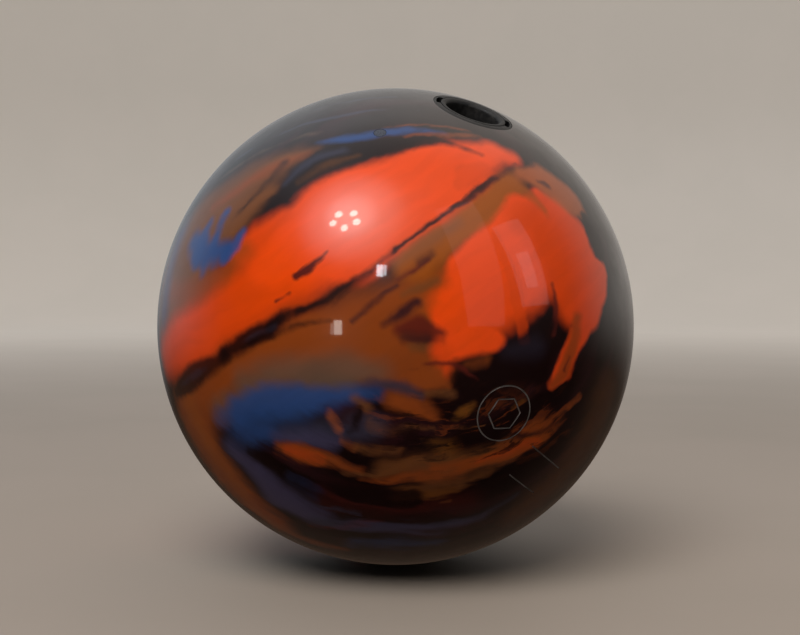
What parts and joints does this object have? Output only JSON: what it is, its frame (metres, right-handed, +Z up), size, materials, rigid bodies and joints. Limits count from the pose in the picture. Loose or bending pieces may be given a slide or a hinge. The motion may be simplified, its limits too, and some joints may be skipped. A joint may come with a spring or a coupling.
{
  "type": "bowling ball",
  "caption": "Glossy swirled ten-pin bowling ball, drilled for a fingertip grip, with an asymmetric core and a twist-out thumb sleeve.",
  "frame": {"origin": "centre of the ball", "axes": "+Z up as the ball sits on its ring, -Y towards the side with the mass-bias marker, thumb hole up and to the +X side"},
  "size_m": [0.216, 0.216, 0.216],
  "materials": {
    "coverstock": "polished reactive urethane, orange, black, brown and blue swirled together",
    "filler": "cast filled resin, dull",
    "weight_block": "cast dense resin, satin",
    "flip_block": "cast denser resin, satin",
    "pin": "polished flush with the cover",
    "finger_insert": "soft vinyl, satin",
    "sleeve": "hard moulded plastic",
    "detent_ring": "natural acetal, satin",
    "o_ring": "nitrile rubber, dull",
    "slug": "turned urethane, fine tool marks",
    "end_cap": "glass-filled nylon",
    "screw": "zinc-plated steel"
  },
  "bodies": {
    "ball": {"coverstock": "coverstock", "outer_core": "filler", "weight_block": "weight_block", "flip_block": "flip_block", "locator_pin": "pin", "mass_bias_marker": "pin", "finger_insert_middle": "finger_insert", "finger_insert_ring": "finger_insert", "thumb_outer_sleeve": "sleeve", "tension_o_ring": "o_ring"},
    "detent": {"detent_ring": "detent_ring"},
    "slug": {"thumb_slug": "slug", "slug_end_cap": "end_cap", "end_cap_screw": "screw"}
  },
  "joints": [
    {"name": "thumb_twist", "type": "hinge", "parent": "ball", "child": "detent", "pos_m": [0, 0, 0], "axis": [0.3101, -0.3851, 0.8692], "range_deg": [-60, 0]},
    {"name": "thumb_pull", "type": "slide", "parent": "detent", "child": "slug", "axis": [0.3101, -0.3851, 0.8692], "range_m": [0, 0.09]}
  ]
}
